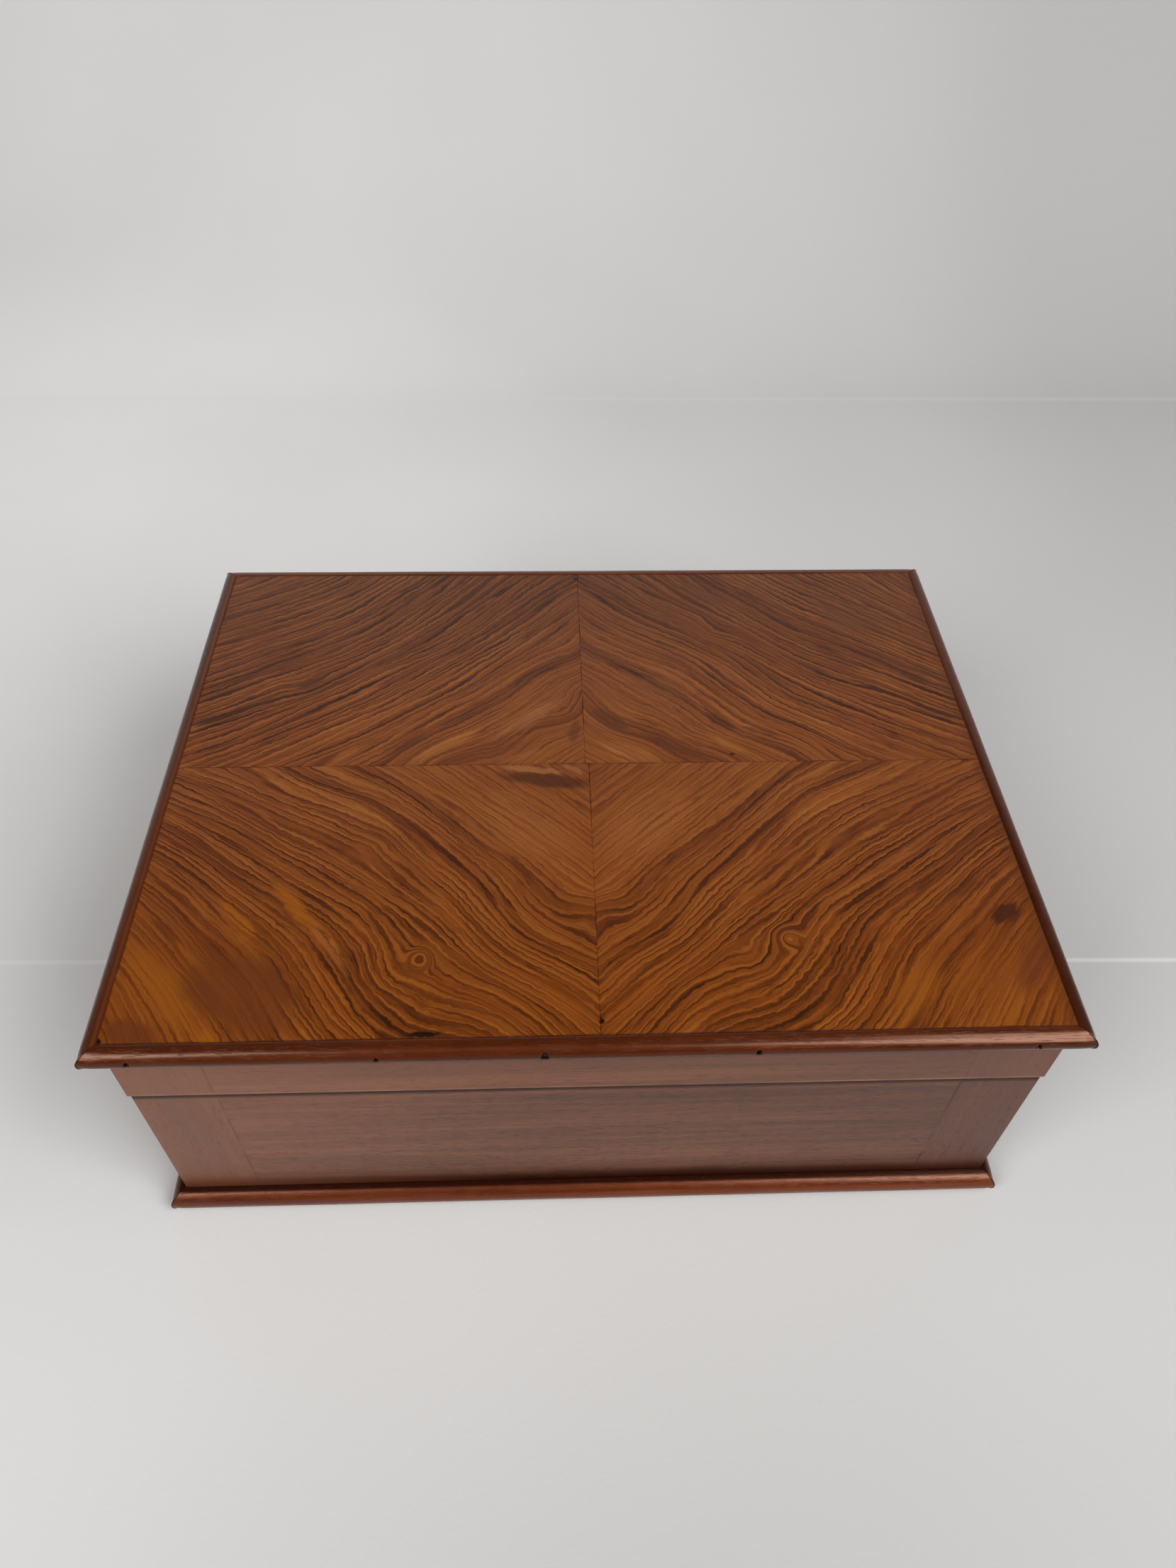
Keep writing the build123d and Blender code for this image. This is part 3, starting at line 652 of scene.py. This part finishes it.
def moulding_mesh(name, side, length, depth, width, thickness, nose, level, pits):
    """One mitred side of a half-round frame. Lengths are in millimetres."""
    along_x = side in ("front", "back")
    run = length if along_x else depth
    reach = depth / 2 if along_x else length / 2
    section = round_nosed_section(width, thickness, nose)
    columns = {-1.0, 1.0}
    inner_run = run / 2 - width
    count = round(2 * inner_run / column_spacing)
    columns |= {2 * i / count - 1 for i in range(count + 1)}
    for pit_x, _ in pits:
        steps = int(pit_reach / pit_column_spacing)
        columns |= {(pit_x + i * pit_column_spacing) / (run / 2) for i in range(-steps, steps + 1)}
    columns = sorted(share for share in columns if abs(share) <= 1)
    turn = Matrix.Rotation(math.radians(side_turns[side]), 4, "Z")
    mesh = bmesh.new()
    rings = []
    for share in columns:
        ring = []
        for outward, up in section:
            # Columns lean towards the mitre near the ends, so that the ends meet at 45 degrees
            half = run / 2 - (width - outward)
            x = share * half
            face = reach - width + outward
            if outward > width / 2:
                sunk = 0.0
                for pit_x, radius in pits:
                    away = math.hypot(x - pit_x, up - thickness / 2 - pit_level)
                    if away < radius:
                        sunk = max(sunk, pit_sink * (1 - (away / radius) ** 4))
                worn = corner_wear * max(0.0, 1 - (half - abs(x)) / corner_reach)
                waves = math.sin(x * long_wave + reach) * math.sin(x * longer_wave + up)
                face += hand_waviness * (waves - 1) - sunk - worn
            place = Vector((x, -face, level + up))
            ring.append(mesh.verts.new(turn @ place * MM))
        rings.append(ring)
    for first, second in zip(rings, rings[1:]):
        for i in range(len(section)):
            j = (i + 1) % len(section)
            mesh.faces.new((first[i], first[j], second[j], second[i]))
    mesh.faces.new(rings[0])
    mesh.faces.new(list(reversed(rings[-1])))
    bmesh.ops.recalc_face_normals(mesh, faces=mesh.faces)
    data = bpy.data.meshes.new(name)
    mesh.to_mesh(data)
    mesh.free()
    data.shade_smooth()
    data.set_sharp_from_angle(angle=math.radians(sharp_edge_angle))
    piece = bpy.data.objects.new(name, data)
    bpy.context.scene.collection.objects.link(piece)
    return piece


def mitre_marks(
    length, depth, width, top, dirt_and_shade_reach, dirt_and_shade_amount, lower_shade_amount, worn_amount, pits, pit_z,
):
    """Dark hairlines at the mitres, a dark inner edge that is dirt and, on the plinth's ledge, also
    painted shade, painted shade on the lower half, a worn inner strip and dark nail pits. The
    length and the depth are those of the whole frame."""
    def marks(wood, colour):
        uneven = wood.noise(wood.vector(wood.x / 12, wood.y / 12, wood.z / 12), detail=3.0)
        from_end = length / 2 - wood.math("ABSOLUTE", wood.x)
        from_side = depth / 2 - wood.math("ABSOLUTE", wood.y)
        off_mitre = wood.math("ABSOLUTE", from_end - from_side)
        line = wood.smooth(off_mitre, uneven * 0.9, 0.1)
        colour = wood.soil_and_shade(line * 0.8, colour, grime_and_shadow_shade)
        inward = wood.math("MINIMUM", from_end, from_side)
        worn = wood.smooth(inward, width - 2.6, width - 1.4) * worn_amount
        colour = wood.mix(worn, colour, rgb("6E3A1C"))
        # Painted shade on the lower, downward-facing half of the nose
        painted_lower_shade = wood.smooth(wood.z, top - 1.4, top - 3.8) * lower_shade_amount
        colour = wood.soil_and_shade(painted_lower_shade, colour, rgb("260902"))
        # Dark inner edge: dirt in the joint, and on the plinth's ledge also painted shade
        crevice_dirt_and_shade = wood.smooth(inward, width - dirt_and_shade_reach - uneven, width - dirt_and_shade_reach * 0.7)
        crevice_dirt_and_shade = crevice_dirt_and_shade * wood.smooth(wood.z, top - 3.0, top - 0.8)
        colour = wood.soil_and_shade(crevice_dirt_and_shade * dirt_and_shade_amount, colour, rgb("220A04"))
        facing = wood.smooth(wood.y, -depth / 2 + 4.0, -depth / 2 + 2.5)
        for pit_x, radius in pits:
            squared_x = wood.math("POWER", wood.x - pit_x, 2.0)
            squared_away = squared_x + wood.math("POWER", wood.z - pit_z, 2.0)
            hole = wood.smooth(squared_away, (radius * 1.15) ** 2, (radius * 0.75) ** 2) * facing
            colour = wood.soil_and_shade(hole, colour, rgb("0A0402"))
        return colour
    return marks


def lay_mouldings(
    prefix, node_prefix, width, nose, body, colours, gloss, dirt_and_shade_reach, dirt_and_shade_amount, lower_shade_amount,
    left_wear, pits,
):
    """The four sides of a moulding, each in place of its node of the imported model."""
    front_low, front_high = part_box(f"{node_prefix}_front")
    side_low, side_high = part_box(f"{node_prefix}_left")
    length = (front_high.x - front_low.x) / MM
    depth = (side_high.y - side_low.y) / MM
    thickness = (front_high.z - front_low.z) / MM
    level = front_low.z / MM
    # The sides and the back take shaded and lit copies of the front's colours
    side_colours = {
        "front": colours, "right": shaded_side_moulding_wood, "back": lit_back_moulding_wood,
        "left": shaded_side_moulding_wood,
    }
    for number, side in enumerate(side_turns):
        side_pits = pits if side == "front" else ()
        strip = moulding_mesh(
            f"{prefix}_{side}", side, length, depth, width, thickness, nose, level, side_pits,
        )
        marks = mitre_marks(
            length, depth, width, level + thickness, dirt_and_shade_reach, dirt_and_shade_amount, lower_shade_amount,
            worn_amount=left_wear if side == "left" else 0.0, pits=side_pits,
            pit_z=level + thickness / 2 + pit_level,
        )
        finish = board(
            f"wood_{prefix}_{side}", "x" if side in ("front", "back") else "y",
            side_colours[side], 11.3 * number + len(prefix), gloss=gloss, contrast=0.8,
            marks=marks, polish=moulding_polish, tint=moulding_tint,
        )
        strip.data.materials.append(finish)
        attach(strip, body)
        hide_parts(f"{node_prefix}_{side}")


lid_moulding_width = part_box("lid_moulding_front")[1].x / MM - leaf_edge_x
plinth_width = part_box("plinth_front")[1].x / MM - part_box("base_board")[1].x / MM
lay_mouldings(
    "lid_edge", "lid_moulding", lid_moulding_width, nose=5.8, body="lid", colours=moulding_wood,
    gloss=0.22, dirt_and_shade_reach=0.6, dirt_and_shade_amount=0.3, lower_shade_amount=0.5, left_wear=0.35, pits=nail_pits,
)
lay_mouldings(
    "foot_edge", "plinth", plinth_width, nose=6.8, body="case", colours=plinth_wood,
    gloss=0.27, dirt_and_shade_reach=3.3, dirt_and_shade_amount=1.0, lower_shade_amount=0.0, left_wear=0.0, pits=(),
)


metal_relief = 0.02


def metal(name, clean, stained, gloss):
    """Worn metal with stains and fine scratches."""
    finish = Finish(name)
    cloud = finish.noise(finish.vector(finish.x / 4, finish.y / 4, finish.z / 4), detail=4.0)
    drawn_out = finish.vector(finish.x / 6, finish.y / 0.15, finish.z / 0.15)
    scratches = finish.noise(drawn_out, detail=2.0)
    stain = cloud.within(0.42, 0.66)
    colour = finish.mix(stain, rgb(clean), rgb(stained))
    roughness = gloss + stain * 0.22 + (scratches - 0.5) * 0.12
    height = cloud * 0.6 + scratches * 0.4
    return finish.surface(colour, roughness, height, metal_relief, Metallic=1.0)


brass = metal("brass", "AC8A58", "6A4C2C", 0.30)
iron = metal("iron", "4A4440", "2A1D16", 0.50)
for node_name in nodes:
    if "hinge" in node_name:
        dress(node_name, brass)
    elif node_name.endswith("brads"):
        dress(node_name, iron)

# Stage: a pale cloth that lies flat under the box and rises behind it
cloth_half_width = 5.0
cloth_front = -6.0
cloth_bend = 0.62
cloth_bend_radius = 0.35
cloth_top = 1.15
bend_steps = 24


def cloth_profile():
    """The cloth's section: flat, a quarter round and then upright, as (y, z) in metres."""
    points = [(cloth_front, 0.0)]
    for step in range(bend_steps + 1):
        turn = math.radians(90) * step / bend_steps
        points.append((
            cloth_bend + cloth_bend_radius * math.sin(turn),
            cloth_bend_radius * (1 - math.cos(turn)),
        ))
    points.append((cloth_bend + cloth_bend_radius, cloth_top))
    return points


profile = cloth_profile()
cloth_points = [(side * cloth_half_width, y, z) for y, z in profile for side in (-1, 1)]
cloth_faces = [(2 * i, 2 * i + 1, 2 * i + 3, 2 * i + 2) for i in range(len(profile) - 1)]
cloth_mesh = bpy.data.meshes.new("cloth")
cloth_mesh.from_pydata(cloth_points, [], cloth_faces)
cloth_mesh.shade_smooth()
cloth = bpy.data.objects.new("cloth", cloth_mesh)
bpy.context.scene.collection.objects.link(cloth)

# Painted light and shade on the cloth: paler at the left and behind the box, greyer at the far
# right, with a painted shadow in front of the box, and much darker further out in front
cloth_roughness = 0.9
cloth_relief = 0.08
weave = Finish("cloth")
cloud = weave.noise(weave.vector(weave.x / 420, weave.y / 420, weave.z / 420), detail=3.0)
threads = weave.noise(weave.vector(weave.x / 2.2, weave.y / 2.2, weave.z / 2.2), detail=2.0)
painted_light_across = weave.smooth(weave.x, 420.0, -420.0)
painted_light_behind = weave.smooth(weave.y, -60.0, 380.0)
painted_light_on_wall = weave.smooth(weave.y, 620.0, 860.0)
painted_lit_left_tone = weave.mix(painted_light_behind, rgb("C6C5C4"), rgb("E8E6E5"))
painted_lit_left_tone = weave.mix(painted_light_on_wall, painted_lit_left_tone, rgb("D4D2D1"))
painted_shaded_right_tone = weave.mix(painted_light_behind, rgb("B4B3B2"), rgb("C3C2C1"))
painted_shaded_right_tone = weave.mix(painted_light_on_wall, painted_shaded_right_tone, rgb("C1C0BF"))
cloth_tone_with_painted_light = weave.mix(painted_light_across, painted_shaded_right_tone, painted_lit_left_tone)
painted_shade_far_right = weave.smooth(weave.x, 300.0, 520.0) * weave.smooth(weave.y, 0.0, 300.0)
cloth_tone_with_painted_light = weave.mix(painted_shade_far_right * 0.4, cloth_tone_with_painted_light, rgb("A6A5A4"))
cloth_tone_with_painted_light = weave.mix((cloud - 0.5) * 0.6 + 0.15, cloth_tone_with_painted_light, rgb("AEACAA"))
# Painted highlights along two creases in the flat cloth: one passes under the box and a fainter one
# runs behind it
crease_highlight_colour = rgb("DCDAD8")
crease_slope = 0.018
crease_away = weave.math("ABSOLUTE", weave.y + weave.x * crease_slope + 15.0)
painted_crease_highlight = weave.smooth(crease_away, 2.2, 0.4) * weave.smooth(cloud, 0.35, 0.6, 0.4, 1.0)
painted_far_crease_highlight = weave.smooth(weave.math("ABSOLUTE", weave.y - 629.0), 4.0, 1.0)
cloth_tone_with_painted_light = weave.mix(painted_crease_highlight * 0.5, cloth_tone_with_painted_light, crease_highlight_colour)
cloth_tone_with_painted_light = weave.mix(painted_far_crease_highlight * 0.2, cloth_tone_with_painted_light, crease_highlight_colour)
# A painted shadow on the cloth in front of the box
in_front = weave.spot(weave.place, (60.0, -360.0), (420.0, 190.0))
out_front = weave.smooth(weave.y, -360.0, -800.0)
cloth_tone_with_painted_light = weave.mix(in_front * 0.55, cloth_tone_with_painted_light, rgb("9E9C9A"))
cloth_tone_with_painted_light = weave.mix(out_front * 0.8, cloth_tone_with_painted_light, rgb("8A8886"))
cloth_mesh.materials.append(weave.surface(cloth_tone_with_painted_light, cloth_roughness, threads, cloth_relief))

# Soft light from two windows in front and a small one above, in a dim room
room_brightness = 0.16
lamps_aim = Vector((0.0, -0.15, 0.14))


def lamp(name, place, width, height, power):
    """A soft rectangular light that faces the front of the lid, in metres and watts."""
    light = bpy.data.lights.new(name, "AREA")
    light.shape = "RECTANGLE"
    light.size = width
    light.size_y = height
    light.energy = power
    holder = bpy.data.objects.new(name, light)
    facing = (lamps_aim - Vector(place)).to_track_quat("-Z", "Y")
    holder.matrix_world = Matrix.Translation(place) @ facing.to_matrix().to_4x4()
    bpy.context.scene.collection.objects.link(holder)


lamp("window_left", (-1.10, -1.05, 1.25), width=0.90, height=1.25, power=26.0)
lamp("window_right", (1.00, -1.05, 1.25), width=1.15, height=1.20, power=34.5)
lamp("window_above", (0.80, -0.30, 1.55), width=0.55, height=0.40, power=4.2)

world = bpy.data.worlds.new("room")
bpy.context.scene.world = world
world.use_nodes = True
room = world.node_tree.nodes["Background"]
room.inputs["Color"].default_value = rgb("B4B2B0")
room.inputs["Strength"].default_value = room_brightness

# The camera looks along view_forward, after a turn, a tilt and a roll
view_x = Vector((math.cos(camera_yaw), math.sin(camera_yaw), 0.0))
view_forward = Vector((
    -math.sin(camera_yaw) * math.cos(camera_pitch),
    math.cos(camera_yaw) * math.cos(camera_pitch),
    -math.sin(camera_pitch),
))
view_up = view_x.cross(view_forward)
rolled_x = view_x * math.cos(camera_roll) + view_up * math.sin(camera_roll)
rolled_up = view_up * math.cos(camera_roll) - view_x * math.sin(camera_roll)
camera_data = bpy.data.cameras.new("camera")
camera_data.sensor_fit = "VERTICAL"
camera_data.sensor_height = film_height
camera_data.lens = film_height * focal_pixels / photo_height
camera_data.clip_start = nearest_seen
camera = bpy.data.objects.new("camera", camera_data)
turned = Matrix((rolled_x, rolled_up, -view_forward)).transposed().to_4x4()
camera.matrix_world = Matrix.Translation(camera_place) @ turned
bpy.context.scene.collection.objects.link(camera)
bpy.context.scene.camera = camera
bpy.context.scene.view_settings.view_transform = "Standard"
